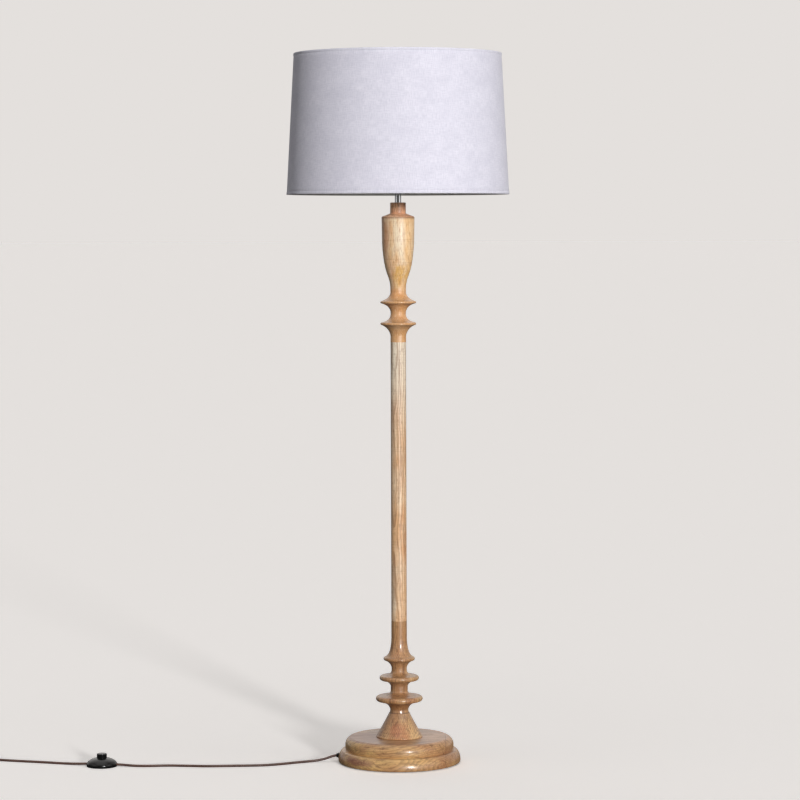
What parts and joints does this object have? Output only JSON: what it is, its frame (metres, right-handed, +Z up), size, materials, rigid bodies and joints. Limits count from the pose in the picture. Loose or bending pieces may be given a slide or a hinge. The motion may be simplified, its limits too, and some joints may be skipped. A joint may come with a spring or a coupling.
{
  "type": "candlestick floor lamp",
  "caption": "Candlestick floor lamp: turned wooden stand on a two-tier round base, tapered drum fabric shade, screw-in bulb, and a cord with a round foot switch and a plug.",
  "frame": {"origin": "centre of the round base, on the floor", "axes": "+Z up along the pole; -Y is the front, and the cord leaves towards -X"},
  "size_m": [1.147, 0.451, 1.4419],
  "materials": {
    "base_wood": "semi-gloss lacquer over stained hardwood",
    "turned_wood": "semi-gloss lacquer over stained hardwood",
    "vase_wood": "semi-gloss lacquer over light stained hardwood",
    "collar_wood": "semi-gloss lacquer over dark end grain",
    "pole_wood": "satin lacquer over light straight-grained hardwood",
    "hardboard": "plain pressed board",
    "felt": "pressed felt",
    "cast_iron": "rough casting",
    "zinc_steel": "zinc plated",
    "spring_steel": "bright wire",
    "chrome": "polished",
    "nickel": "nickel plated",
    "brass": "bare",
    "black_plastic": "moulded, fine texture",
    "switch_gloss": "glossy moulded",
    "holder_plastic": "moulded, satin",
    "porcelain": "glazed",
    "black_glass": "glossy",
    "bulb_plastic": "moulded, satin",
    "opal_glass": "opal, satin",
    "shade_linen": "fine plain-weave linen with slubs",
    "shade_liner": "smooth laminate",
    "white_wire": "powder coated",
    "cord_sheath": "smooth sheath"
  },
  "bodies": {
    "stand": {"base_disc": "base_wood", "foot_cone": "turned_wood", "lower_turning": "turned_wood", "upper_turning": "vase_wood", "neck_cap": "collar_wood", "pole": "pole_wood", "glide_pads": "felt", "bottom_plate": "hardboard", "base_weight": "cast_iron", "plate_screws": "zinc_steel", "cord_grommet": "black_plastic", "tie_tube_lower": "zinc_steel", "tie_tube_upper": "zinc_steel", "tube_coupler": "zinc_steel", "bottom_washer": "zinc_steel", "bottom_nut": "zinc_steel", "holder_locknut": "zinc_steel", "neck_tube": "chrome", "holder_cap": "holder_plastic", "holder_skirt": "holder_plastic", "holder_insulator": "porcelain", "terminal_screws": "brass", "screw_shell": "brass", "centre_contact": "brass", "switch_cover": "switch_gloss", "switch_base": "switch_gloss", "switch_screws": "zinc_steel", "switch_spring": "spring_steel", "switch_contacts": "brass", "switch_terminal_screws": "brass", "cord_clamps": "black_plastic", "inner_cord": "cord_sheath", "cord_lamp_side": "cord_sheath", "cord_plug_side": "cord_sheath", "cord_plug_lead": "cord_sheath", "cord_coil": "cord_sheath", "plug_body": "black_plastic", "plug_pins": "nickel"},
    "shade": {"shade_fabric": "shade_linen", "shade_lining": "shade_liner", "bottom_hem": "shade_linen", "top_hem": "shade_linen", "top_ring": "white_wire", "shade_fitter": "white_wire"},
    "clamp_ring": {"shade_ring": "holder_plastic"},
    "bulb": {"bulb_globe": "opal_glass", "bulb_housing": "bulb_plastic", "bulb_cap": "nickel", "bulb_insulator": "black_glass", "bulb_tip": "brass"},
    "foot_button": {"switch_button": "switch_gloss", "contact_bridge": "brass"}
  },
  "joints": [
    {"name": "shade_turn", "type": "hinge", "parent": "stand", "child": "shade", "pos_m": [0, 0, 1.1878], "axis": [0, 0, 1], "continuous": true},
    {"name": "shade_ring_turn", "type": "hinge", "parent": "stand", "child": "clamp_ring", "pos_m": [0, 0, 1.1926], "axis": [0, 0, 1], "range_deg": [0, 90]},
    {"name": "bulb_unscrew", "type": "slide", "parent": "stand", "child": "bulb", "axis": [0, 0, 1], "range_m": [0, 0.03]},
    {"name": "foot_button_press", "type": "slide", "parent": "stand", "child": "foot_button", "axis": [0, 0, -1], "range_m": [0, 0.004], "stiffness_N_per_m": 900, "springref_m": -0.002, "deforming": ["switch_spring"]}
  ]
}
